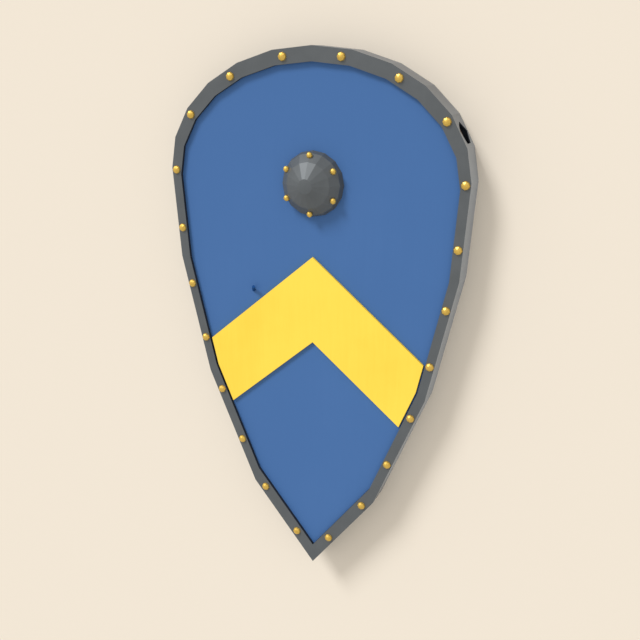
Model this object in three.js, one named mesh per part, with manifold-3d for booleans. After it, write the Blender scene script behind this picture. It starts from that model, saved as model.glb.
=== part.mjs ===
import * as THREE from 'three';
import { mergeVertices } from 'three/addons/utils/BufferGeometryUtils.js';
import Module from 'manifold-3d';

// Kite shield lying on its back, in millimetres: the face looks up (+Z), the rounded top points to +Y
// and the point to -Y. The origin is under the middle of its box, on the plane the rim's back rests on.

// Outline, seen from the front: a half-elliptical arch of equal steps, then flanks that bend in three times
const height = 1000;
const halfWidth = 285.3;
const archRise = 218.5;
const archFlats = 12;
const shoulderDrop = 169.2;
const shoulderIn = 12.4;
const waistDrop = 228.3;
const waistIn = 52.7;
const hipDrop = 224.9;
const hipIn = 94.3;

// Iron rim: sheet folded into a box-shaped channel round the board's edge
const rimDepth = 54;
const rimSideWidth = 18.4;
const rimTopWidth = 26.4;
const rimSheet = 2;

// Torn hole in the rim's outer wall, on the right, in the flat of the arch that lies at its middle's level.
// Each corner is a share of its length, from the upper end, and of its depth, from the front.
const holeMiddleDown = 138.3;
const holeFrontGap = 5;
const holeLength = 40;
const holeDepth = 45;
const holeCorners = [[0, 0.47], [0.18, 0.2], [0.4, 0], [1, 0.22], [1, 0.71], [0.45, 1]];

// Wooden board, set back from the rim's front
const fieldRecess = 7;
const boardThickness = 12;

// Raised chevron, with a gap between its ends and the rim's lips
const chevronApexDown = 367.7;
const chevronBand = 125;
const chevronSlope = THREE.MathUtils.degToRad(40);
const chevronThickness = 5;
const chevronEndGap = 3.3;

// Boss: a hollow dome of sixteen sides. Rings are named from the board outwards.
const bossDown = 234.9;
const bossSides = 16;
const bossSheet = 2;
const bossBaseRadius = 59;
const bossShoulderRadius = 55.3;
const bossShoulderHeight = 10.4;
const bossWaistRadius = 40.9;
const bossWaistHeight = 25;
const bossCrownRadius = 13.2;
const bossCrownHeight = 38.6;
const bossHeight = 40.5;

// Rivets. A head is a dome of flats, whose bends are given as shares of its radius and its height.
const rivetSides = 8;
const headShoulder = [0.86, 0.5];
const headCrown = [0.5, 0.88];
const headUnderside = [0.75, 0.6];
const rimRivetsEachSide = 11;
const rimRivetTipGap = 58.7;
const rimRivetHeadRadius = 8;
const rimRivetHeadHeight = 5.5;
const rimRivetShankRadius = 3;
const rimRivetTailRadius = 4.2;
const bossRivetCount = 6;
const bossRivetCircle = 51.2;
const bossRivetHeadRadius = 6;
const bossRivetHeadHeight = 5.4;
const bossRivetStand = 1.6;
const bossRivetShankRadius = 2;
const bossRivetTailRadius = 4.5;
const bossRivetTailEndRadius = 2.7;
const bossRivetTailHeight = 2.4;
const strapRivetHeadRadius = 6;
const strapRivetHeadHeight = 3;
const strapRivetShankRadius = 3;
const strapRivetCover = 2;

// Peg: the end of the grip's lower rivet, which leans over where it leaves the face. The turn of its lean is
// anticlockwise from +X.
const pegLength = 15.5;
const pegLean = THREE.MathUtils.degToRad(44);
const pegLeanTurn = THREE.MathUtils.degToRad(60);

// Leather straps on the back, either side of the line the forearm lies on
const armLineDown = 376;
const strapThickness = 4;
const strapRise = 26;
const strapRamp = 28;
const strapRampSteps = 6;
const strapCornerCut = 8;
const gripX = -122.4;
const gripSpan = 132;
const gripWidth = 32;
const gripTab = 14;
const armStrapX = 95;
const armStrapSpan = 160;
const armStrapWidth = 50;
const armStrapTab = 16;
const armStrapRivetSpacing = 26;

// Clearance between pieces that touch, and the overshoot of a cut past the face it opens
const fit = 0.3;
const overshoot = 1;

// Levels, from the plane that the rim rests on
const rimFront = rimDepth;
const boardFace = rimFront - fieldRecess;
const boardBack = boardFace - boardThickness;
const top = height / 2;

const wasm = await Module();
wasm.setup();

// Turns a closed three.js geometry into a solid for cutting and joining
function solid(geometry) {
  geometry.deleteAttribute('normal');
  geometry.deleteAttribute('uv');
  const merged = mergeVertices(geometry, 1e-4);
  const index = merged.index.array;
  const triangles = [];
  for (let i = 0; i < index.length; i += 3) {
    const [a, b, c] = [index[i], index[i + 1], index[i + 2]];
    if (a !== b && b !== c && c !== a) triangles.push(a, b, c);
  }
  return new wasm.Manifold(new wasm.Mesh({
    numProp: 3,
    vertProperties: new Float32Array(merged.attributes.position.array),
    triVerts: new Uint32Array(triangles),
  }));
}

// Makes the named mesh of a finished solid
function piece(name, body, material) {
  const { vertProperties, triVerts } = body.getMesh();
  const geometry = new THREE.BufferGeometry();
  geometry.setAttribute('position', new THREE.BufferAttribute(new Float32Array(vertProperties), 3));
  geometry.setIndex(new THREE.BufferAttribute(new Uint32Array(triVerts), 1));
  geometry.computeVertexNormals();
  const mesh = new THREE.Mesh(geometry, material.clone());
  mesh.name = name;
  return mesh;
}

// Straight prism of a plan outline between two levels
function prism(outline, low, high) {
  const geometry = new THREE.ExtrudeGeometry(new THREE.Shape(outline), {
    depth: high - low,
    bevelEnabled: false,
  });
  geometry.translate(0, 0, low);
  return solid(geometry);
}

// Turned solid about a vertical axis through (x, y). The profile lists [radius, level] from below to above.
function turned(profile, sides, x, y) {
  const points = profile.map(([radius, level]) => new THREE.Vector2(radius, level));
  const geometry = new THREE.LatheGeometry(points, sides);
  geometry.rotateX(Math.PI / 2);
  geometry.translate(x, y, 0);
  return solid(geometry);
}

// Moves each side of a closed outline inwards by the same distance; a negative distance moves it outwards.
// The outline runs anticlockwise.
function inset(outline, distance) {
  const count = outline.length;
  return outline.map((corner, i) => {
    const before = corner.clone().sub(outline[(i + count - 1) % count]).normalize();
    const after = outline[(i + 1) % count].clone().sub(corner).normalize();
    const inward = new THREE.Vector2(-before.y - after.y, before.x + after.x);
    return corner.clone().addScaledVector(inward, distance / (1 + before.dot(after)));
  });
}

// A copy of an outline drawn in towards a point on the centre line
function drawnIn(outline, scale, centreY) {
  return outline.map(({ x, y }) => new THREE.Vector2(x * scale, centreY + (y - centreY) * scale));
}

// Right half of the outline from the top down, without the two ends on the centre line
function rightCorners() {
  const corners = [];
  for (let i = 1; i <= archFlats / 2; i += 1) {
    const turn = (i * Math.PI) / archFlats;
    corners.push(new THREE.Vector2(halfWidth * Math.sin(turn), top - archRise * (1 - Math.cos(turn))));
  }
  const bends = [[shoulderIn, shoulderDrop], [waistIn, waistDrop], [hipIn, hipDrop]];
  let { x, y } = corners.at(-1);
  for (const [stepIn, stepDown] of bends) {
    x -= stepIn;
    y -= stepDown;
    corners.push(new THREE.Vector2(x, y));
  }
  return corners;
}

// Whole outline, anticlockwise from the top centre
function shieldOutline() {
  const right = rightCorners();
  const left = right.map(({ x, y }) => new THREE.Vector2(-x, y));
  return [new THREE.Vector2(0, top), ...left, new THREE.Vector2(0, top - height), ...right.reverse()];
}

const outline = shieldOutline();
const rimShrink = rimSideWidth / halfWidth;
const rimCentreY = top - rimTopWidth / rimShrink;
const rimInner = drawnIn(outline, 1 - rimShrink, rimCentreY);
const rimMiddle = drawnIn(outline, 1 - rimShrink / 2, rimCentreY);
const boardOutline = inset(outline, rimSheet + fit);

// The point of a path nearest to a given point
function nearestOn(path, point) {
  const found = path.slice(1).map((to, i) => {
    const side = new THREE.Line3(
      new THREE.Vector3(path[i].x, path[i].y, 0),
      new THREE.Vector3(to.x, to.y, 0),
    );
    return side.closestPointToPoint(new THREE.Vector3(point.x, point.y, 0), true, new THREE.Vector3());
  });
  const away = ({ x, y }) => Math.hypot(x - point.x, y - point.y);
  const nearest = found.reduce((best, candidate) => (away(candidate) < away(best) ? candidate : best));
  return new THREE.Vector2(nearest.x, nearest.y);
}

// Rim rivets keep even steps along a line parallel to the outline, with half a step to the top centre and a
// set distance to the point, and sit opposite those steps on the middle of the rim.
function rimRivetsOnLeft() {
  const leftEnd = outline.length / 2 + 1;
  const steps = new THREE.Path(inset(outline, rimSideWidth / 2).slice(0, leftEnd));
  const middle = rimMiddle.slice(0, leftEnd);
  const length = steps.getLength();
  const space = (length - rimRivetTipGap) / (rimRivetsEachSide - 0.5);
  return Array.from(
    { length: rimRivetsEachSide },
    (_, i) => nearestOn(middle, steps.getPointAt(((i + 0.5) * space) / length)),
  );
}

const rimRivetPlaces = rimRivetsOnLeft().flatMap(({ x, y }) => [
  new THREE.Vector2(-x, y),
  new THREE.Vector2(x, y),
]);

const bossY = top - bossDown;
const bossRivetPlaces = Array.from({ length: bossRivetCount }, (_, i) => {
  const turn = Math.PI / 2 + (i * 2 * Math.PI) / bossRivetCount;
  return new THREE.Vector2(
    bossRivetCircle * Math.cos(turn),
    bossY + bossRivetCircle * Math.sin(turn),
  );
});

const armLineY = top - armLineDown;
const gripRivetPlaces = [1, -1].map((end) => new THREE.Vector2(gripX, armLineY + (end * gripSpan) / 2));
const [gripUpperPlace, pegPlace] = gripRivetPlaces;
const armRivetPlaces = [1, -1].flatMap((end) => [-1, 1].map((side) => new THREE.Vector2(
  armStrapX + (side * armStrapRivetSpacing) / 2,
  armLineY + (end * armStrapSpan) / 2,
)));

// One bend of a rivet head, as a [radius, level] pair
function headBend([radiusShare, riseShare], radius, rise, level) {
  return [radius * radiusShare, level + rise * riseShare];
}

// Faceted dome of a rivet head, from its widest ring upwards
function headRings(radius, rise, level) {
  const bends = [headShoulder, headCrown].map((bend) => headBend(bend, radius, rise, level));
  return [[radius, level], ...bends, [0, level + rise]];
}

// The rim rivet's shank with its flared tail in the back flange, grown by a margin for the hole it fills
function rimRivetShank(margin, low, high) {
  return [[0, low], [rimRivetTailRadius + margin, low], [rimRivetShankRadius + margin, rimSheet],
    [rimRivetShankRadius + margin, high]];
}

function rimRivet({ x, y }) {
  const profile = [...rimRivetShank(0, fit, rimFront + fit),
    ...headRings(rimRivetHeadRadius, rimRivetHeadHeight, rimFront + fit)];
  return turned(profile, rivetSides, x, y);
}

function rimRivetHole({ x, y }) {
  const high = rimFront + overshoot;
  return turned([...rimRivetShank(fit, 0, high), [0, high]], rivetSides, x, y)
    .add(turned([[0, -overshoot], [rimRivetTailRadius + fit, -overshoot], [rimRivetTailRadius + fit, 0],
      [0, 0]], rivetSides, x, y));
}

// Straight round hole between two levels
function roundHole({ x, y }, radius, low, high) {
  return turned([[0, low], [radius, low], [radius, high], [0, high]], rivetSides, x, y);
}

// Outer rings of the boss above the board, grown outwards by a margin
function bossRings(margin) {
  const base = boardFace + fit;
  return [[bossBaseRadius + margin, base],
    [bossShoulderRadius + margin, base + bossShoulderHeight + margin / 2],
    [bossWaistRadius + margin, base + bossWaistHeight + margin],
    [bossCrownRadius + margin, base + bossCrownHeight + margin], [0, base + bossHeight + margin]];
}

function bossDome() {
  const inside = bossRings(-bossSheet).reverse();
  inside[inside.length - 1] = [bossBaseRadius - bossSheet, boardFace + fit];
  const dome = turned([...inside, ...bossRings(0)], bossSides, 0, bossY);
  return bossRivetPlaces.reduce(
    (body, place) => body.subtract(roundHole(place, bossRivetShankRadius + fit, 0, rimFront + bossHeight)),
    dome,
  );
}

// A boss rivet's head is hammered down on the slope between the dome's shoulder and waist
function bossRivet({ x, y }) {
  const share = (bossShoulderRadius - bossRivetCircle) / (bossShoulderRadius - bossWaistRadius);
  const slope = bossShoulderHeight + share * (bossWaistHeight - bossShoulderHeight);
  const middle = boardFace + fit + slope + bossRivetStand;
  const head = turned([[0, middle - bossRivetHeadRadius],
    headBend(headUnderside, bossRivetHeadRadius, -bossRivetHeadRadius, middle),
    ...headRings(bossRivetHeadRadius, bossRivetHeadHeight, middle)], rivetSides, x, y);
  const filled = turned([[0, boardFace], [bossBaseRadius + fit, boardFace], ...bossRings(fit)],
    bossSides, 0, bossY);
  const tail = boardBack - fit;
  const tailEnd = tail - bossRivetTailHeight;
  const shank = turned([[0, tailEnd], [bossRivetTailEndRadius, tailEnd], [bossRivetTailRadius, tail],
    [bossRivetShankRadius, tail], [bossRivetShankRadius, middle], [0, middle]], rivetSides, x, y);
  return head.subtract(filled).add(shank);
}

// A strap's rivet has its head on the strap's tab and ends at the level given, inside or above the board
function strapRivet({ x, y }, end) {
  const seat = boardBack - fit - strapThickness - fit;
  const rings = headRings(strapRivetHeadRadius, strapRivetHeadHeight, 0);
  const head = rings.map(([radius, rise]) => [radius, seat - rise]).reverse();
  return turned([...head, [strapRivetShankRadius, seat], [strapRivetShankRadius, end], [0, end]],
    rivetSides, x, y);
}

const blindEnd = boardFace - strapRivetCover;

// The rivet that ends in the peg. Its shank and the peg meet at a mitre that just clears the board's face.
function gripLowerRivet({ x, y }) {
  const mitre = strapRivetShankRadius * Math.tan(pegLean / 2);
  const bend = boardFace + fit + mitre;
  const geometry = new THREE.CylinderGeometry(
    strapRivetShankRadius,
    strapRivetShankRadius,
    mitre + pegLength,
    rivetSides,
  );
  geometry.translate(0, (pegLength - mitre) / 2, 0);
  geometry.rotateX(Math.PI / 2);
  geometry.rotateY(pegLean);
  geometry.rotateZ(pegLeanTurn);
  geometry.translate(x, y, bend);
  return strapRivet({ x, y }, bend + mitre).add(solid(geometry));
}

function boardBody() {
  let body = prism(boardOutline, boardBack, boardFace);
  for (const place of rimRivetPlaces) {
    body = body.subtract(roundHole(place, rimRivetShankRadius + fit, 0, rimFront));
  }
  for (const place of bossRivetPlaces) {
    body = body.subtract(roundHole(place, bossRivetShankRadius + fit, 0, rimFront));
  }
  for (const place of [gripUpperPlace, ...armRivetPlaces]) {
    body = body.subtract(roundHole(place, strapRivetShankRadius + fit, 0, blindEnd + fit));
  }
  return body.subtract(roundHole(pegPlace, strapRivetShankRadius + fit, 0, rimFront));
}

// The hole torn in the rim: its outline lies in the plane of the rim's outer wall
function rimHole() {
  const corners = [new THREE.Vector2(0, top), ...rightCorners()];
  const level = top - holeMiddleDown;
  const below = corners.findIndex(({ y }) => y < level);
  const [start, end] = corners.slice(below - 1, below + 1);
  const along = end.clone().sub(start).normalize();
  const middle = start.clone().lerp(end, (start.y - level) / (start.y - end.y));
  const frame = new THREE.Matrix4().makeBasis(
    new THREE.Vector3(along.x, along.y, 0),
    new THREE.Vector3(0, 0, -1),
    new THREE.Vector3(-along.y, along.x, 0),
  );
  frame.setPosition(middle.x, middle.y, rimFront - holeFrontGap);
  const shape = new THREE.Shape(holeCorners.map(([lengthShare, depthShare]) => new THREE.Vector2(
    (lengthShare - 0.5) * holeLength,
    depthShare * holeDepth,
  )));
  const geometry = new THREE.ExtrudeGeometry(shape, { depth: rimSheet + 2 * overshoot, bevelEnabled: false });
  geometry.translate(0, 0, -rimSheet - overshoot);
  geometry.applyMatrix4(frame);
  return solid(geometry);
}

// The rim's box section, hollow inside and open where the board's edge goes in between its two lips
function rimBody() {
  const ring = prism(outline, 0, rimFront).subtract(prism(rimInner, -overshoot, rimFront + overshoot));
  const hollow = prism(inset(outline, rimSheet), rimSheet, rimFront - rimSheet)
    .subtract(prism(inset(rimInner, -rimSheet), 0, rimFront));
  const boardGap = prism(inset(outline, rimSheet), boardBack - fit, boardFace + fit);
  let body = ring.subtract(hollow).subtract(boardGap).subtract(rimHole());
  for (const place of rimRivetPlaces) {
    body = body.subtract(rimRivetHole(place));
  }
  return body;
}

// The chevron runs across the whole board, cut parallel to the rim's lips at both ends
function chevronBody() {
  const apex = top - chevronApexDown;
  const fall = halfWidth * Math.tan(chevronSlope);
  const band = chevronBand / Math.cos(chevronSlope);
  const corners = [[0, apex], [-halfWidth, apex - fall], [-halfWidth, apex - fall - band], [0, apex - band],
    [halfWidth, apex - fall - band], [halfWidth, apex - fall]];
  const low = boardFace + fit;
  const high = low + chevronThickness;
  return prism(corners.map(([x, y]) => new THREE.Vector2(x, y)), low, high)
    .intersect(prism(inset(rimInner, chevronEndGap), low - overshoot, high + overshoot));
}

// A strap lies flat on the board's back at both ends and bows away from it in between
function strap(x, span, width, tab, rivets) {
  const reach = span / 2 + tab;
  const rampEnd = span / 2 - strapRivetHeadRadius;
  const middle = [[reach, 0], [rampEnd, 0]];
  for (let i = 1; i <= strapRampSteps; i += 1) {
    const share = i / strapRampSteps;
    middle.push([rampEnd - share * strapRamp, strapRise * (1 - Math.cos(share * Math.PI)) / 2]);
  }
  const half = middle.map(([along, drop]) => new THREE.Vector2(along, drop));
  const whole = [...half, ...half.map(({ x: along, y: drop }) => new THREE.Vector2(-along, drop)).reverse()];
  const sides = whole.map((point, i) => {
    const before = whole[Math.max(i - 1, 0)];
    const after = whole[Math.min(i + 1, whole.length - 1)];
    const run = after.clone().sub(before).normalize();
    return new THREE.Vector2(-run.y, run.x).multiplyScalar(strapThickness / 2);
  });
  const upper = whole.map((point, i) => point.clone().add(sides[i]));
  const lower = whole.map((point, i) => point.clone().sub(sides[i]));
  const geometry = new THREE.ExtrudeGeometry(new THREE.Shape([...upper, ...lower.reverse()]), {
    depth: width,
    bevelEnabled: false,
  });
  const middleLevel = boardBack - fit - strapThickness / 2;
  geometry.translate(0, 0, -width / 2);
  geometry.applyMatrix4(new THREE.Matrix4().makeBasis(
    new THREE.Vector3(0, 1, 0),
    new THREE.Vector3(0, 0, -1),
    new THREE.Vector3(-1, 0, 0),
  ));
  geometry.translate(x, armLineY, middleLevel);
  const w = width / 2;
  const plan = [[w, -reach + strapCornerCut], [w, reach - strapCornerCut], [w - strapCornerCut, reach],
    [strapCornerCut - w, reach], [-w, reach - strapCornerCut], [-w, strapCornerCut - reach],
    [strapCornerCut - w, -reach], [w - strapCornerCut, -reach]];
  const planOutline = plan.map(([across, along]) => new THREE.Vector2(x + across, armLineY + along));
  let body = solid(geometry).intersect(prism(planOutline, 0, boardBack));
  for (const place of rivets) {
    body = body.subtract(roundHole(place, strapRivetShankRadius + fit, 0, boardBack));
  }
  return body;
}

function material(color, roughness, metalness) {
  return new THREE.MeshStandardMaterial({ color, roughness, metalness });
}

const bluePaint = material(0x4f74a9, 0.55, 0);
const yellowPaint = material(0xffdf55, 0.55, 0);
const rimIron = material(0x636568, 0.5, 0.7);
const bossIron = material(0x62666a, 0.4, 0.8);
const brass = material(0xd4a546, 0.3, 0.9);
const leather = material(0x5a3a22, 0.7, 0);
const strapIron = material(0x3c3d40, 0.5, 0.8);
const pegPaint = material(0x2d4478, 0.55, 0);

const shield = new THREE.Group();
shield.add(piece('board', boardBody(), bluePaint));
shield.add(piece('rim', rimBody(), rimIron));
shield.add(piece('chevron', chevronBody(), yellowPaint));
shield.add(piece('boss', bossDome(), bossIron));
rimRivetPlaces.forEach((place, i) => {
  shield.add(piece(`rim_rivet_${String(i + 1).padStart(2, '0')}`, rimRivet(place), brass));
});
bossRivetPlaces.forEach((place, i) => {
  shield.add(piece(`boss_rivet_${i + 1}`, bossRivet(place), brass));
});
shield.add(piece('grip_strap', strap(gripX, gripSpan, gripWidth, gripTab, gripRivetPlaces), leather));
shield.add(piece('arm_strap', strap(armStrapX, armStrapSpan, armStrapWidth, armStrapTab, armRivetPlaces),
  leather));
shield.add(piece('grip_rivet_upper', strapRivet(gripUpperPlace, blindEnd), strapIron));
shield.add(piece('grip_rivet_lower', gripLowerRivet(pegPlace), pegPaint));
armRivetPlaces.forEach((place, i) => {
  shield.add(piece(`arm_rivet_${i + 1}`, strapRivet(place, blindEnd), strapIron));
});

export default shield;
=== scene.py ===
import math

import bmesh
import bpy
from mathutils import Matrix, Vector


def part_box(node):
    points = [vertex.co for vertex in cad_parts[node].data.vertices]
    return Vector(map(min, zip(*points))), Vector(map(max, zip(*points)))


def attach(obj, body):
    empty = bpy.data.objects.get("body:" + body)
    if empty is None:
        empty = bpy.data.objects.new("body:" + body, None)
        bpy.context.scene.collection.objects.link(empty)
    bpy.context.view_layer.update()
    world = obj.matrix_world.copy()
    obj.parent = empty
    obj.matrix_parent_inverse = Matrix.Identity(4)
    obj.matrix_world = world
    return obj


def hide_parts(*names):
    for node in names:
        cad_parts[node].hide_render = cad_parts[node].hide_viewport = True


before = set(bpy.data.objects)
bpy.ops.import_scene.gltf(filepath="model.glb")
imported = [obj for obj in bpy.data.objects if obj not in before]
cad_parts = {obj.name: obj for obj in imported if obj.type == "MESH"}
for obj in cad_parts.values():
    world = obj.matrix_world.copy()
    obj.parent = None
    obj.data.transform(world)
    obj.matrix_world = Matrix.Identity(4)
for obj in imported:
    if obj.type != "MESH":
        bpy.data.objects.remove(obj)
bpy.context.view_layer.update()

# Board. One kite-shaped panel glued up from upright planks of pale wood and planed flat. Its face is painted
# blue and its back is bare. Its edge is painted near black as shade, so the rim's channel looks dark inside.
PLANK_WIDTH = 0.1
JOINT_WIDTH = 0.0018
JOINT_DEPTH = 0.001
SAME_PLACE = 1e-5
SAME_FLAT = math.radians(0.1)
FIELD_BLUE = (0.051, 0.136, 0.34, 1)
FIELD_WORN_BLUE = (0.059, 0.149, 0.362, 1)
BARE_WOOD = (0.33, 0.2, 0.1, 1)
BARE_WOOD_DARK = (0.19, 0.1, 0.045, 1)
EDGE_SHADE_BLACK = (0.012, 0.011, 0.01, 1)


class Wire:
    """An output of a node. Arithmetic on it adds Math nodes to its own tree."""

    def __init__(self, tree, socket):
        self.tree = tree
        self.socket = socket

    def maths(self, operation, *values):
        return self.tree.node("ShaderNodeMath", {"operation": operation}, dict(enumerate(values)))

    def __add__(self, other):
        return self.maths("ADD", self, other)

    def __sub__(self, other):
        return self.maths("SUBTRACT", self, other)

    def __rsub__(self, other):
        return self.maths("SUBTRACT", other, self)

    def __mul__(self, other):
        return self.maths("MULTIPLY", self, other)

    def __neg__(self):
        return self * -1

    def __abs__(self):
        return self.maths("ABSOLUTE", self)

    __radd__ = __add__
    __rmul__ = __mul__


class Tree:
    """A node tree. node() adds one node: its type, its settings, and the values or wires of its sockets."""

    def __init__(self, tree):
        self.tree = tree

    def node(self, kind, settings=None, sockets=None, output=0):
        made = self.tree.nodes.new(kind)
        for name, value in (settings or {}).items():
            setattr(made, name, value)
        for key, value in (sockets or {}).items():
            for one in value if isinstance(value, list) else [value]:
                if isinstance(one, Wire):
                    self.tree.links.new(one.socket, made.inputs[key])
                else:
                    made.inputs[key].default_value = one
        return Wire(self, made.outputs[output])


class Finish(Tree):
    """A material. Even values go on the shader's sockets, and feed() links what changes over a surface."""

    def __init__(self, name, **even):
        self.material = bpy.data.materials.new(name)
        self.material.use_nodes = True
        super().__init__(self.material.node_tree)
        self.shader = self.tree.nodes["Principled BSDF"]
        for socket, value in even.items():
            self.shader.inputs[socket.replace("_", " ")].default_value = value
        self.place = self.node("ShaderNodeTexCoord", output="Object")

    def feed(self, socket, wire):
        self.tree.links.new(wire.socket, self.shader.inputs[socket])

    def clouds(self, per_metre, detail=4, stretch=(1, 1, 1), shift=(0, 0, 0)):
        """Soft patches from 0 to 1, about as many to the metre as given, longer where stretch is small."""
        spread = self.node("ShaderNodeMapping", {}, {
            "Vector": self.place, "Scale": stretch, "Location": shift})
        return self.node("ShaderNodeTexNoise", {}, {"Vector": spread, "Scale": per_metre, "Detail": detail})

    def upright(self):
        """1 on a wall that stands up from the shield's plane, 0 on a face that lies in it."""
        normal = self.node("ShaderNodeTexCoord", output="Normal")
        return 1 - abs(self.part_of(normal, "Z"))

    def part_of(self, vector, axis):
        return self.node("ShaderNodeSeparateXYZ", {}, {"Vector": vector}, output=axis)

    def step(self, wire, low, high):
        """0 where the wire is below low, 1 where it is above high, and smooth in between."""
        return self.node("ShaderNodeMapRange", {"interpolation_type": "SMOOTHSTEP"},
                         {"Value": wire, "From Min": low, "From Max": high})

    def mix(self, share, under, over):
        """The colour under where the share is 0, and the colour over it where the share is 1."""
        return self.node("ShaderNodeMix", {"data_type": "RGBA"}, {0: share, 6: under, 7: over}, output=2)

    def relief(self, height):
        """Bump from a height in metres."""
        self.feed("Normal", self.node("ShaderNodeBump", {}, {"Height": height, "Distance": 1.0}))


def loose_copy(node, name):
    """A new object of a CAD node's shape, with its loose triangles joined and flat faces made whole."""
    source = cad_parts[node].data
    shape = bmesh.new()
    corners = [shape.verts.new(vertex.co) for vertex in source.vertices]
    for face in source.polygons:
        shape.faces.new([corners[i] for i in face.vertices])
    bmesh.ops.remove_doubles(shape, verts=shape.verts, dist=SAME_PLACE)
    bmesh.ops.dissolve_limit(shape, angle_limit=SAME_FLAT, verts=shape.verts, edges=shape.edges)
    return finished_object(shape, name)


def finished_object(shape, name):
    """A new object at the origin, of the shape as it is."""
    mesh = bpy.data.meshes.new(name)
    shape.to_mesh(mesh)
    shape.free()
    made = bpy.data.objects.new(name, mesh)
    bpy.context.scene.collection.objects.link(made)
    return made


def stand_for(piece, slot, *nodes):
    """The piece replaces its CAD nodes and moves with the shield. The slot is not used."""
    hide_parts(*nodes)
    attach(piece, "root")


def blue_paint():
    paint = Finish("blue field paint", Specular_IOR_Level=0.2)
    brush = paint.clouds(240, stretch=(1, 0.035, 1))
    patches = paint.clouds(5, detail=5)
    worn = paint.step(patches + brush * 0.3, 0.5, 1.3)
    paint.feed("Base Color", paint.mix(worn, FIELD_BLUE, FIELD_WORN_BLUE))
    paint.feed("Roughness", 0.52 + brush * 0.1)
    grain = paint.clouds(900, detail=2, stretch=(1, 0.03, 1))
    paint.relief(brush * 0.00004 + grain * 0.00002)
    return paint.material


def bare_wood():
    wood = Finish("bare planed wood", Roughness=0.72, Specular_IOR_Level=0.25)
    rings = wood.clouds(34, detail=6, stretch=(1, 0.05, 1))
    pores = wood.clouds(700, detail=2, stretch=(1, 0.02, 1))
    shade = wood.step(rings + pores * 0.3, 0.45, 0.85)
    wood.feed("Base Color", wood.mix(shade, BARE_WOOD, BARE_WOOD_DARK))
    wood.relief(rings * 0.0004 - pores * 0.00012)
    return wood.material


# Painted shade: a near-black finish on the board's edge, so the rim's channel looks dark inside.
def dark_shade_edge_wood():
    wood = Finish("plank edge in painted shade", Specular_IOR_Level=0.3)
    edge_patches = wood.clouds(160)
    wood.feed("Base Color", wood.mix(edge_patches, EDGE_SHADE_BLACK, BARE_WOOD_DARK))
    wood.feed("Roughness", 0.35 + edge_patches * 0.3)
    wood.relief(edge_patches * 0.0006)
    return wood.material


def plank_joints(board, back_level):
    """Cuts a shallow V along each joint between two planks, on the back."""
    shape = bmesh.new()
    shape.from_mesh(board.data)
    low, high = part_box("board")
    count = int((high.x - low.x) / PLANK_WIDTH)
    joints = [(i - count / 2) * PLANK_WIDTH for i in range(count + 1)]
    for joint in joints:
        for side in (-JOINT_WIDTH / 2, 0, JOINT_WIDTH / 2):
            whole = shape.verts[:] + shape.edges[:] + shape.faces[:]
            bmesh.ops.bisect_plane(shape, geom=whole, dist=SAME_PLACE / 10,
                                   plane_co=(joint + side, 0, 0), plane_no=(1, 0, 0))
    for vertex in shape.verts:
        on_joint = any(abs(vertex.co.x - joint) < SAME_PLACE for joint in joints)
        if on_joint and abs(vertex.co.z - back_level) < SAME_PLACE:
            vertex.co.z += JOINT_DEPTH
    shape.to_mesh(board.data)
    shape.free()


def finish_sides(board):
    """Gives the first finish to the face, the second to the back and the third to the edge."""
    for face in board.data.polygons:
        if face.normal.z > 0.5:
            face.material_index = 0
        elif face.normal.z < -0.5:
            face.material_index = 1
        else:
            face.material_index = 2


board_low, board_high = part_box("board")
board = loose_copy("board", "painted_board")
plank_joints(board, board_low.z)
for finish in (blue_paint(), bare_wood(), dark_shade_edge_wood()):
    board.data.materials.append(finish)
finish_sides(board)
stand_for(board, "field_paint", "board")

# Chevron. A plate of wood, glued on the face and painted yellow. Its edges are eased with a few strokes of a
# plane, and its sawn ends, in the narrow gap beside the rim, are painted dark as shade.
CHEVRON_YELLOW = (0.93, 0.665, 0.077, 1)
CHEVRON_DEEP_YELLOW = (0.87, 0.6, 0.06, 1)
CHEVRON_EDGE_YELLOW = (0.72, 0.46, 0.05, 1)
# Painted shade for the chevron's end walls in the gap beside the rim.
CHEVRON_END_SHADE = (0.1, 0.075, 0.02, 1)
CHEVRON_EASE = 0.0006
SAWN_END_TURN = 0.8


def yellow_paint(name, light, deep):
    paint = Finish(name, Specular_IOR_Level=0.2)
    brush = paint.clouds(260, stretch=(1, 0.05, 1))
    patches = paint.clouds(6, detail=5, shift=(0.4, 0, 0))
    paint.feed("Base Color", paint.mix(paint.step(patches + brush * 0.3, 0.5, 1.1), light, deep))
    paint.feed("Roughness", 0.48 + brush * 0.16)
    paint.relief(brush * 0.0001)
    return paint.material


def ease_edges(piece, width, segments, least_angle, finish=-1):
    """Rounds every edge sharper than the angle, in the given finish or in that of the flats beside it."""
    bevel = piece.modifiers.new("eased edges", "BEVEL")
    bevel.width = width
    bevel.segments = segments
    bevel.limit_method = "ANGLE"
    bevel.angle_limit = math.radians(least_angle)
    bevel.harden_normals = True
    bevel.material = finish
    piece.data.shade_smooth()


def shade_ends(chevron):
    """Gives the second finish, a painted shade, to the walls that face out to the rim, steeper than the arms'
    edges.
    """
    for face in chevron.data.polygons:
        if abs(face.normal.x) > SAWN_END_TURN:
            face.material_index = 1


chevron = loose_copy("chevron", "yellow_chevron")
chevron.data.materials.append(yellow_paint("yellow chevron paint", CHEVRON_YELLOW, CHEVRON_DEEP_YELLOW))
chevron.data.materials.append(yellow_paint("chevron end in painted shade", CHEVRON_END_SHADE, CHEVRON_END_SHADE))
chevron.data.materials.append(
    yellow_paint("yellow paint on the edge", CHEVRON_DEEP_YELLOW, CHEVRON_EDGE_YELLOW))
shade_ends(chevron)
ease_edges(chevron, CHEVRON_EASE, 2, 30, finish=2)
stand_for(chevron, "chevron_paint", "chevron")
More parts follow.
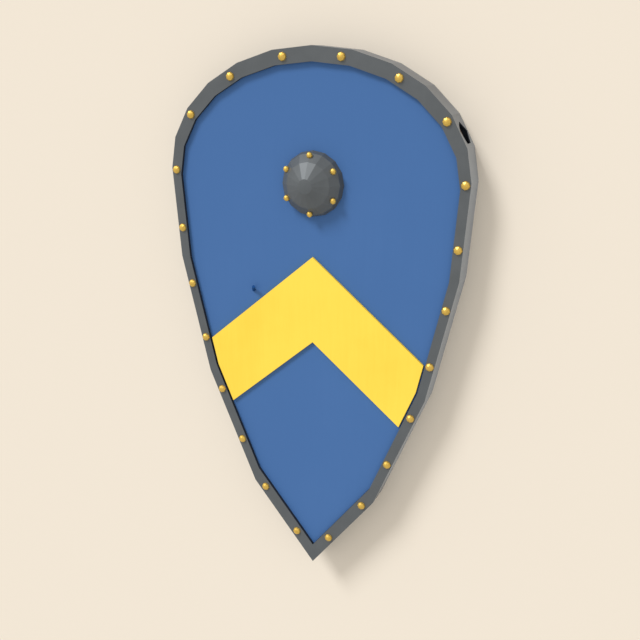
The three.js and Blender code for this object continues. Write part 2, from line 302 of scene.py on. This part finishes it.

# Rim. Iron sheet folded into a box-shaped channel and driven over the board's edge, with a flat for each
# straight of the outline. The folds are rubbed bright. The outer wall is painted light along the flanks and
# painted shade round the arch and at the point, and the channel's inside and inner lips are painted dark as
# shade.
RIM_EASE = 0.0009
RIM_SHEET = 0.002
POINT_WALL_SHADE_ENDS = (-0.36, -0.27)
ARCH_WALL_SHADE_BEGINS = (0.26, 0.45)
IRON_DARK = (0.089, 0.099, 0.107, 1)
IRON_GREY = (0.102, 0.113, 0.122, 1)
IRON_RUBBED = (0.19, 0.2, 0.21, 1)
# Painted light for the outer wall, cool as if it mirrored a pale room, and painted shade where it is duller.
IRON_WALL_LIGHT = (0.325, 0.361, 0.41, 1)
IRON_WALL_SHADE = (0.172, 0.184, 0.203, 1)
# Painted shade, a little blue, for the rim channel's inside and its inner lips.
IRON_SHADE_BLACK = (0.018, 0.025, 0.038, 1)


def iron(name, dull, bright, side, side_shade, metallic, roughness):
    """Oiled iron in soft patches. Upright walls: painted light along the flanks, painted shade at arch and
    point.
    """
    metal = Finish(name, Metallic=metallic)
    along = metal.part_of(metal.place, "Y")
    # Painted light on the outer wall along the flanks, painted shade round the arch and at the point.
    lit_flanks = metal.step(along, *POINT_WALL_SHADE_ENDS) - metal.step(along, *ARCH_WALL_SHADE_BEGINS)
    wall = metal.mix(lit_flanks, side_shade, side)
    scale = metal.clouds(26, detail=6)
    scratches = metal.clouds(420, detail=3, stretch=(1, 0.06, 0.3))
    oiled = metal.mix(metal.step(scale + scratches * 0.25, 0.4, 0.95), dull, bright)
    # Upright walls take the painted wall light and shade, and scratches break its edge.
    rubbed = metal.step(metal.upright() + scratches * 0.2, 0.3, 1.0)
    metal.feed("Base Color", metal.mix(rubbed, oiled, wall))
    metal.feed("Roughness", roughness + scale * 0.12)
    metal.relief(scale * 0.00008 + scratches * 0.00002)
    return metal.material


def plain_iron(name, dull, bright, metallic, roughness):
    """The same iron where its walls are as dull as the rest."""
    return iron(name, dull, bright, dull, dull, metallic, roughness)


def shade_inside(rim, top):
    """Gives the second finish, a painted shade, to the channel's inside and to the lips that turn down to the
    board.
    """
    for face in rim.data.polygons:
        levels = [rim.data.vertices[i].co.z for i in face.vertices]
        in_channel = min(levels) > RIM_SHEET / 2 and max(levels) < top - RIM_SHEET / 2
        stands_up = abs(face.normal.z) < 0.5
        if in_channel or stands_up and face.normal.dot(face.center) < 0:
            face.material_index = 1


rim_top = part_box("rim")[1].z
rim = loose_copy("rim", "iron_rim")
rim.data.materials.append(iron("rim iron", IRON_DARK, IRON_GREY, IRON_WALL_LIGHT, IRON_WALL_SHADE, 0.3, 0.4))
rim.data.materials.append(plain_iron("iron in painted shade", IRON_SHADE_BLACK, IRON_SHADE_BLACK, 0.3, 0.7))
rim.data.materials.append(
    iron("rubbed rim edge", IRON_GREY, IRON_RUBBED, IRON_WALL_LIGHT, IRON_WALL_SHADE, 0.4, 0.36))
shade_inside(rim, rim_top)
ease_edges(rim, RIM_EASE, 3, 8, finish=2)
stand_for(rim, "rim_iron", "rim")

# Rim rivets. Brass, with heads hammered into eight flats, driven through the rim and the board and spread in
# the countersunk holes of the rim's back.
BRASS_LIGHT = (0.71, 0.475, 0.105, 1)
BRASS_DEEP = (0.64, 0.42, 0.085, 1)
RIM_HEAD_RADIUS = 0.008
RIM_HEAD_HEIGHT = 0.0055
RIM_SHANK_RADIUS = 0.003
RIM_TAIL_RADIUS = 0.0042
RIM_TAIL_HEIGHT = 0.0017
HEAD_SHOULDER = (0.86, 0.5)
HEAD_CROWN = (0.44, 0.86)
FLAT_SIDES = 8
FLAT_TURN = -0.1
RIVET_UNEVEN_TURN = 0.12
RIVET_EASE = 0.0004
RIVET_LAP = 0.00005


def brass():
    metal = Finish("hammered brass", Metallic=0.8)
    cast = metal.clouds(150, detail=3)
    metal.feed("Base Color", metal.mix(metal.step(cast, 0.35, 0.7), BRASS_LIGHT, BRASS_DEEP))
    metal.feed("Roughness", 0.4 + cast * 0.08)
    metal.relief(cast * 0.00012)
    return metal.material


class Pattern(Tree):
    """Geometry nodes with named inputs. repeat() ends them, with real faces in the input Finish."""

    def __init__(self, name, inputs):
        self.group = bpy.data.node_groups.new(name, "GeometryNodeTree")
        super().__init__(self.group)
        self.group.interface.new_socket("Geometry", in_out="OUTPUT", socket_type="NodeSocketGeometry")
        for socket, kind in inputs:
            self.group.interface.new_socket(socket, in_out="INPUT", socket_type="NodeSocket" + kind)
        source = self.tree.nodes.new("NodeGroupInput")
        self.given = {socket: Wire(self, source.outputs[socket]) for socket, _ in inputs}

    def chance(self):
        """A chance turn at each place, up to the input Uneven Turn either way."""
        most = self.given["Uneven Turn"]
        return self.node("FunctionNodeRandomValue", {"data_type": "FLOAT"}, {
            "Min": -most, "Max": most, "Seed": self.given["Seed"]}, output=1)

    def repeat(self, shape, places, turn):
        placed = self.node("GeometryNodeInstanceOnPoints", {}, {
            "Points": places, "Instance": shape, "Rotation": turn})
        real = self.node("GeometryNodeRealizeInstances", {}, {"Geometry": placed})
        done = self.node("GeometryNodeSetMaterial", {}, {"Geometry": real, "Material": self.given["Finish"]})
        self.tree.links.new(done.socket, self.tree.nodes.new("NodeGroupOutput").inputs[0])
        return self.group


def rivet_pattern():
    """A faceted rivet at every place, built up from rings of flats between the heights of its profile."""
    tree = Pattern("Rivets", [
        ("Places", "Geometry"), ("Head Radius", "Float"), ("Head Height", "Float"),
        ("Underside Depth", "Float"), ("Shank Radius", "Float"), ("Shank Length", "Float"),
        ("Tail Radius", "Float"), ("Tail End Radius", "Float"), ("Tail Height", "Float"),
        ("Sides", "Int"), ("Turn", "Float"), ("Uneven Turn", "Float"), ("Seed", "Int"),
        ("Facing", "Vector"), ("Finish", "Material")])
    given = tree.given
    tail_end = -given["Shank Length"]
    tail_top = tail_end + given["Tail Height"]
    profile = [
        (tail_end - RIVET_LAP, 0.0),
        (tail_end, given["Tail End Radius"]),
        (tail_top, given["Tail Radius"]),
        (tail_top + RIVET_LAP, given["Shank Radius"]),
        (-given["Underside Depth"], given["Shank Radius"]),
        (0.0, given["Head Radius"]),
        (given["Head Height"] * HEAD_SHOULDER[1], given["Head Radius"] * HEAD_SHOULDER[0]),
        (given["Head Height"] * HEAD_CROWN[1], given["Head Radius"] * HEAD_CROWN[0]),
        (given["Head Height"], 0.0),
    ]
    bands = []
    for (low, low_radius), (high, high_radius) in zip(profile, profile[1:]):
        band = tree.node("GeometryNodeMeshCone", {"fill_type": "NONE"}, {
            "Vertices": given["Sides"], "Radius Bottom": low_radius, "Radius Top": high_radius,
            "Depth": high - low})
        lift = tree.node("ShaderNodeCombineXYZ", {}, {"Z": low})
        bands.append(tree.node("GeometryNodeTransform", {}, {"Geometry": band, "Translation": lift}))
    joined = tree.node("GeometryNodeJoinGeometry", {}, {"Geometry": bands})
    rivet = tree.node("GeometryNodeMergeByDistance", {}, {"Geometry": joined, "Distance": RIVET_LAP / 5})
    faced = tree.node("GeometryNodeTransform", {}, {"Geometry": rivet, "Rotation": given["Facing"]})
    turn = tree.node("ShaderNodeCombineXYZ", {}, {"Z": given["Turn"] + tree.chance()})
    return tree.repeat(faced, given["Places"], turn)


def made_by(pattern, name, places, ease, pairs=(), **inputs):
    """A plain mesh of what the pattern makes at the places, or along the pairs of them, with eased flats."""
    mesh = bpy.data.meshes.new(name)
    mesh.from_pydata(places, list(pairs), [])
    carrier = bpy.data.objects.new(name + "_places", mesh)
    bpy.context.scene.collection.objects.link(carrier)
    modifier = carrier.modifiers.new("pattern", "NODES")
    modifier.node_group = pattern
    for socket in pattern.interface.items_tree:
        if socket.in_out == "INPUT" and socket.name.replace(" ", "_") in inputs:
            modifier[socket.identifier] = inputs[socket.name.replace(" ", "_")]
    if ease:
        ease_edges(carrier, ease, 2, 10)
    evaluated = carrier.evaluated_get(bpy.context.evaluated_depsgraph_get())
    made = bpy.data.objects.new(name, bpy.data.meshes.new_from_object(evaluated))
    made.data.materials.clear()
    made.data.materials.append(inputs["Finish"])
    made.data.polygons.foreach_set("material_index", [0] * len(made.data.polygons))
    bpy.data.objects.remove(carrier)
    bpy.context.scene.collection.objects.link(made)
    return made


def middle_of(node, level):
    """The middle of a CAD node seen from the front, at the given height."""
    low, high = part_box(node)
    return Vector(((low.x + high.x) / 2, (low.y + high.y) / 2, level))


def nodes_named(start):
    return sorted(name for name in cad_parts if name.startswith(start))


rivets = rivet_pattern()
hammered_brass = brass()
rim_rivet_nodes = nodes_named("rim_rivet_")
rim_rivet_low, rim_rivet_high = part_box(rim_rivet_nodes[0])
rim_seat = rim_rivet_high.z - RIM_HEAD_HEIGHT
rim_rivets = made_by(
    rivets, "rim_rivets", [middle_of(node, rim_seat) for node in rim_rivet_nodes], RIVET_EASE,
    Head_Radius=RIM_HEAD_RADIUS, Head_Height=RIM_HEAD_HEIGHT, Underside_Depth=2 * RIVET_LAP,
    Shank_Radius=RIM_SHANK_RADIUS, Shank_Length=rim_seat - rim_rivet_low.z - RIVET_LAP,
    Tail_Radius=RIM_SHANK_RADIUS, Tail_End_Radius=RIM_TAIL_RADIUS, Tail_Height=RIM_TAIL_HEIGHT,
    Sides=FLAT_SIDES, Turn=FLAT_TURN, Uneven_Turn=RIVET_UNEVEN_TURN, Seed=7, Finish=hammered_brass)
stand_for(rim_rivets, "brass", *rim_rivet_nodes)

# Boss. A hollow dome of iron sheet, hammered over a stake into sixteen flats a ring, that covers nothing but
# wood. Its ridges are rubbed a little brighter than its flats.
BOSS_EASE = 0.0006
BOSS_DARK = (0.086, 0.097, 0.106, 1)
BOSS_GREY = (0.101, 0.114, 0.124, 1)
BOSS_RUBBED = (0.14, 0.152, 0.16, 1)

boss = loose_copy("boss", "iron_boss")
boss.data.materials.append(plain_iron("boss iron", BOSS_DARK, BOSS_GREY, 0.25, 0.38))
boss.data.materials.append(plain_iron("rubbed boss ridge", BOSS_GREY, BOSS_RUBBED, 0.3, 0.38))
ease_edges(boss, BOSS_EASE, 2, 5, finish=1)
stand_for(boss, "boss_iron", "boss")

# Boss rivets. Six smaller brass rivets, hammered like the rim's. They go through the dome's slope and the
# board, and are clenched on its back.
BOSS_HEAD_RADIUS = 0.006
BOSS_HEAD_HEIGHT = 0.0054
BOSS_UNDERSIDE = 0.0045
BOSS_SHANK_RADIUS = 0.002
BOSS_TAIL_RADIUS = 0.0045
BOSS_TAIL_END_RADIUS = 0.0027
BOSS_TAIL_HEIGHT = 0.0024

boss_rivet_nodes = nodes_named("boss_rivet_")
boss_rivet_low, boss_rivet_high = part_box(boss_rivet_nodes[0])
boss_seat = boss_rivet_high.z - BOSS_HEAD_HEIGHT
boss_rivets = made_by(
    rivets, "boss_rivets", [middle_of(node, boss_seat) for node in boss_rivet_nodes], RIVET_EASE,
    Head_Radius=BOSS_HEAD_RADIUS, Head_Height=BOSS_HEAD_HEIGHT, Underside_Depth=BOSS_UNDERSIDE,
    Shank_Radius=BOSS_SHANK_RADIUS, Shank_Length=boss_seat - boss_rivet_low.z - RIVET_LAP,
    Tail_Radius=BOSS_TAIL_RADIUS, Tail_End_Radius=BOSS_TAIL_END_RADIUS, Tail_Height=BOSS_TAIL_HEIGHT,
    Sides=FLAT_SIDES, Turn=FLAT_TURN, Uneven_Turn=RIVET_UNEVEN_TURN, Seed=11, Finish=hammered_brass)
stand_for(boss_rivets, "brass", *boss_rivet_nodes)

# Grip strap and arm strap. Two layers of harness leather, glued and stitched along both edges, with cut
# corners and burnished sides. Each bows away from the board between the rivets at its ends.
LEATHER_TAN = (0.19, 0.083, 0.03, 1)
LEATHER_BROWN = (0.095, 0.038, 0.014, 1)
LEATHER_EDGE = (0.03, 0.014, 0.007, 1)
LINEN = (0.5, 0.42, 0.29, 1)
LINEN_DARK = (0.36, 0.28, 0.18, 1)
STRAP_THICKNESS = 0.004
STRAP_RAMP = 0.028
STRAP_CORNER = 0.008
STRAP_RIVET_RADIUS = 0.006
STRAP_STEPS = 72
STRAP_STRIPS = 12
STRAP_LEAST_STEP = 0.0001
STRAP_EASE = 0.0011
STITCH_INSET = 0.0045
STITCH_PITCH = 0.006
STITCH_LENGTH = 0.0042
STITCH_RADIUS = 0.00055
STITCH_SIDES = 6
STITCH_RINGS = 5
STITCH_STANDS_OUT = 0.1 * STITCH_RADIUS
STITCH_UNEVEN_TURN = 0.08


def leather():
    hide = Finish("harness leather", Specular_IOR_Level=0.4)
    patches = hide.clouds(22, detail=6)
    pebbles = hide.node("ShaderNodeTexVoronoi", {}, {"Vector": hide.place, "Scale": 900.0})
    worn = hide.step(patches + pebbles * 0.2, 0.4, 0.9)
    hide.feed("Base Color", hide.mix(worn, LEATHER_BROWN, LEATHER_TAN))
    hide.feed("Roughness", 0.45 + patches * 0.25)
    hide.relief(patches * 0.0006 - pebbles * 0.00018)
    return hide.material


def patchy_finish(name, light, deep, roughness, metallic=0.0, gloss=0.5):
    """A small part's finish, from light to deep in fine soft patches."""
    surface = Finish(name, Metallic=metallic, Specular_IOR_Level=gloss)
    patches = surface.clouds(180)
    surface.feed("Base Color", surface.mix(surface.step(patches, 0.35, 0.7), light, deep))
    surface.feed("Roughness", roughness + patches * 0.2)
    surface.relief(patches * 0.0001)
    return surface.material


class StrapForm:
    """The place and bow of a strap, from its CAD node's box and the rivets at its ends."""

    def __init__(self, node, rivet_nodes):
        low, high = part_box(node)
        self.centre = (low + high) / 2
        self.width = high.x - low.x
        self.reach = (high.y - low.y) / 2
        self.seat = high.z - STRAP_THICKNESS / 2
        self.rise = high.z - low.z - STRAP_THICKNESS
        rivet = max(abs(middle_of(name, 0).y - self.centre.y) for name in rivet_nodes)
        self.ramp_end = rivet - STRAP_RIVET_RADIUS

    def drop(self, along):
        """How far the strap's middle layer is from the board's back at a place along it."""
        share = min(max((self.ramp_end - abs(along)) / STRAP_RAMP, 0), 1)
        return self.rise * (1 - math.cos(share * math.pi)) / 2

    def half_width(self, along):
        return self.width / 2 - max(abs(along) - self.reach + STRAP_CORNER, 0)

    def point(self, across, along, out):
        """A point of the strap: out is measured from the middle layer, away from the board."""
        step = 0.0005
        slope = (self.drop(along + step) - self.drop(along - step)) / (2 * step)
        normal = Vector((0, slope, 1)).normalized()
        middle = Vector((self.centre.x + across, self.centre.y + along, self.seat - self.drop(along)))
        return middle - normal * out


def strap_shape(form):
    """A closed band of quads, finer along its length, that follows the bow and has cut corners."""
    bends = (form.reach, form.reach - STRAP_CORNER)
    places = {-bends[0], bends[0], -bends[1], bends[1]}
    places |= {(2 * i / STRAP_STEPS - 1) * form.reach for i in range(STRAP_STEPS + 1)}
    stations = []
    for along in sorted(places):
        if not stations or along - stations[-1] > STRAP_LEAST_STEP:
            stations.append(along)
    shares = [2 * j / STRAP_STRIPS - 1 for j in range(STRAP_STRIPS + 1)]
    shape = bmesh.new()
    layers = []
    for out in (-STRAP_THICKNESS / 2, STRAP_THICKNESS / 2):
        layer = []
        for along in stations:
            row = [form.point(share * form.half_width(along), along, out) for share in shares]
            layer.append([shape.verts.new(point) for point in row])
        layers.append(layer)
    for layer in layers:
        for row, after in zip(layer, layer[1:]):
            for j in range(STRAP_STRIPS):
                shape.faces.new((row[j], row[j + 1], after[j + 1], after[j]))
    under, over = layers
    for side in (0, -1):
        for i in range(len(stations) - 1):
            shape.faces.new((under[i][side], under[i + 1][side], over[i + 1][side], over[i][side]))
    for end in (0, -1):
        for j in range(STRAP_STRIPS):
            shape.faces.new((under[end][j], under[end][j + 1], over[end][j + 1], over[end][j]))
    bmesh.ops.recalc_face_normals(shape, faces=shape.faces)
    return shape


def stitch_pattern():
    """An even row of stitches, each a long bead laid along the line with a small chance slant."""
    tree = Pattern("Stitches", [
        ("Line", "Geometry"), ("Pitch", "Float"), ("Length", "Float"), ("Radius", "Float"),
        ("Uneven Turn", "Float"), ("Seed", "Int"), ("Finish", "Material")])
    given = tree.given
    line = tree.node("GeometryNodeMeshToCurve", {}, {"Mesh": given["Line"]})
    spaced = tree.node("GeometryNodeCurveToPoints", {"mode": "LENGTH"}, {
        "Curve": line, "Length": given["Pitch"]}, output="Points")
    along_line = Wire(tree, spaced.socket.node.outputs["Rotation"])
    bead = tree.node("GeometryNodeMeshUVSphere", {}, {
        "Segments": STITCH_SIDES, "Rings": STITCH_RINGS, "Radius": 1.0})
    long_way = tree.node("ShaderNodeCombineXYZ", {}, {
        "X": given["Radius"], "Y": given["Radius"], "Z": given["Length"] * 0.5})
    stitch = tree.node("GeometryNodeTransform", {}, {"Geometry": bead, "Scale": long_way})
    chance = tree.chance()
    slant = tree.node("ShaderNodeCombineXYZ", {}, {"X": chance, "Y": chance})
    turned = tree.node("FunctionNodeRotateRotation", {"rotation_space": "LOCAL"}, {
        "Rotation": along_line, "Rotate By": slant})
    return tree.repeat(stitch, spaced, turned)


def stitch_lines(form):
    """Two lines of points along the strap's outer side, between its tabs' cut corners."""
    across = form.width / 2 - STITCH_INSET
    reach = form.reach - STRAP_CORNER
    count = int(2 * reach / STITCH_PITCH)
    out = STRAP_THICKNESS / 2 + STITCH_STANDS_OUT
    return [[form.point(side * across, (2 * i / count - 1) * reach, out) for i in range(count + 1)]
            for side in (-1, 1)]


def strap(node, rivet_nodes, name, finishes, pattern):
    """The band that stands for the CAD node, and its stitches."""
    form = StrapForm(node, rivet_nodes)
    band = finished_object(strap_shape(form), name)
    band.data.materials.append(finishes["hide"])
    band.data.materials.append(finishes["edge"])
    ease_edges(band, STRAP_EASE, 3, 45, finish=1)
    stand_for(band, "leather", node)
    lines = stitch_lines(form)
    points = [point for line in lines for point in line]
    pairs = [(i, i + 1) for i in range(len(points) - 1) if i + 1 != len(lines[0])]
    thread = made_by(pattern, name + "_stitches", points, 0, pairs=pairs, Pitch=STITCH_PITCH,
                     Length=STITCH_LENGTH, Radius=STITCH_RADIUS, Uneven_Turn=STITCH_UNEVEN_TURN, Seed=5,
                     Finish=finishes["thread"])
    thread.data.shade_smooth()
    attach(thread, "root")


strap_finishes = {
    "hide": leather(),
    "edge": patchy_finish("burnished leather edge", LEATHER_EDGE, LEATHER_BROWN, 0.3),
    "thread": patchy_finish("waxed linen thread", LINEN, LINEN_DARK, 0.6),
}
stitches = stitch_pattern()
grip_rivet_nodes = nodes_named("grip_rivet_")
arm_rivet_nodes = nodes_named("arm_rivet_")
strap("grip_strap", grip_rivet_nodes, "grip_leather", strap_finishes, stitches)
strap("arm_strap", arm_rivet_nodes, "arm_leather", strap_finishes, stitches)

# Strap rivets and peg. Blackened iron, set from behind with their heads on the straps. All are blind but the
# grip's lower one, whose end comes through the board and leans over on the face, painted dark blue.
BLACK_IRON = (0.045, 0.046, 0.05, 1)
BLACK_IRON_RUBBED = (0.11, 0.11, 0.115, 1)
PEG_BLUE = (0.009, 0.062, 0.22, 1)
PEG_DEEP_BLUE = (0.007, 0.052, 0.19, 1)
STRAP_HEAD_HEIGHT = 0.003
STRAP_SHANK_RADIUS = 0.003
STRAP_TAIL_END_RADIUS = 0.9 * STRAP_SHANK_RADIUS
STRAP_TAIL_HEIGHT = 0.0005
TOWARDS_BACK = (math.pi, 0, 0)
PEG_PAINT_DEPTH = 0.003

blackened = patchy_finish("blackened strap rivet", BLACK_IRON, BLACK_IRON_RUBBED, 0.35, 0.6)

blind_nodes = arm_rivet_nodes + ["grip_rivet_upper"]
blind_low, blind_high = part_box(blind_nodes[0])
blind_seat = blind_low.z + STRAP_HEAD_HEIGHT
blind_rivets = made_by(
    rivets, "strap_rivets", [middle_of(node, blind_seat) for node in blind_nodes], RIVET_EASE,
    Head_Radius=STRAP_RIVET_RADIUS, Head_Height=STRAP_HEAD_HEIGHT, Underside_Depth=2 * RIVET_LAP,
    Shank_Radius=STRAP_SHANK_RADIUS, Shank_Length=blind_high.z - blind_seat - RIVET_LAP,
    Tail_Radius=STRAP_SHANK_RADIUS, Tail_End_Radius=STRAP_TAIL_END_RADIUS, Tail_Height=STRAP_TAIL_HEIGHT,
    Sides=FLAT_SIDES, Turn=0.0, Uneven_Turn=RIVET_UNEVEN_TURN, Seed=3, Facing=TOWARDS_BACK,
    Finish=blackened)
stand_for(blind_rivets, "strap_iron", *blind_nodes)

peg = loose_copy("grip_rivet_lower", "grip_peg")
peg.data.materials.append(blackened)
peg.data.materials.append(patchy_finish("peg paint", PEG_BLUE, PEG_DEEP_BLUE, 0.55, gloss=0.1))
for face in peg.data.polygons:
    painted = face.center.z > board_high.z - PEG_PAINT_DEPTH
    face.material_index = 1 if painted else 0
ease_edges(peg, RIVET_EASE, 2, 20)
stand_for(peg, "peg_paint", "grip_rivet_lower")

# Floor, light and camera. The shield lies on its back on a plain pale floor, with one soft lamp towards its
# upper left and a pale room. The camera stands over it at the photograph's angle.
FLOOR_SIZE = 12.0
FLOOR_PALE = (0.755, 0.69, 0.6, 1)
FLOOR_PATCH = (0.7, 0.63, 0.5, 1)
FLOOR_PATCH_SHARE = 0.04
ROOM_COLOUR = (1.0, 0.97, 0.92, 1)
ROOM_STRENGTH = 0.82
LAMP_TURN = math.radians(120)
LAMP_RISE = math.radians(30)
LAMP_SPREAD = math.radians(18)
LAMP_POWER = 2.3
CAMERA_PLACE = (0.5906, 0.4827, 1.4505)
CAMERA_RIGHT = Vector((0.9248, 0, -0.3805))
CAMERA_FORWARD = Vector((-0.3636, -0.2956, -0.8835))
CAMERA_LENS = 48.05


def pale_floor():
    surface = Finish("pale floor", Roughness=0.9, Specular_IOR_Level=0.1)
    faint = surface.clouds(3)
    surface.feed("Base Color", surface.mix(faint * FLOOR_PATCH_SHARE, FLOOR_PALE, FLOOR_PATCH))
    return surface.material


floor_shape = bmesh.new()
bmesh.ops.create_grid(floor_shape, x_segments=1, y_segments=1, size=FLOOR_SIZE / 2)
floor = finished_object(floor_shape, "floor")
floor.data.materials.append(pale_floor())

room = bpy.data.worlds.new("room")
room.use_nodes = True
room.node_tree.nodes["Background"].inputs["Color"].default_value = ROOM_COLOUR
room.node_tree.nodes["Background"].inputs["Strength"].default_value = ROOM_STRENGTH
bpy.context.scene.world = room

lamp_data = bpy.data.lights.new("lamp", "SUN")
lamp_data.angle = LAMP_SPREAD
lamp_data.energy = LAMP_POWER
lamp = bpy.data.objects.new("lamp", lamp_data)
bpy.context.scene.collection.objects.link(lamp)
towards_lamp = Vector((
    math.cos(LAMP_RISE) * math.cos(LAMP_TURN),
    math.cos(LAMP_RISE) * math.sin(LAMP_TURN),
    math.sin(LAMP_RISE),
))
lamp.rotation_euler = (-towards_lamp).to_track_quat("-Z", "Y").to_euler()

camera_data = bpy.data.cameras.new("camera")
camera_data.lens = CAMERA_LENS
camera = bpy.data.objects.new("camera", camera_data)
bpy.context.scene.collection.objects.link(camera)
camera_up = CAMERA_RIGHT.cross(CAMERA_FORWARD)
camera.matrix_world = Matrix.Translation(CAMERA_PLACE) @ Matrix((
    CAMERA_RIGHT, camera_up, -CAMERA_FORWARD)).transposed().to_4x4()
bpy.context.scene.camera = camera
bpy.context.scene.view_settings.view_transform = "Standard"
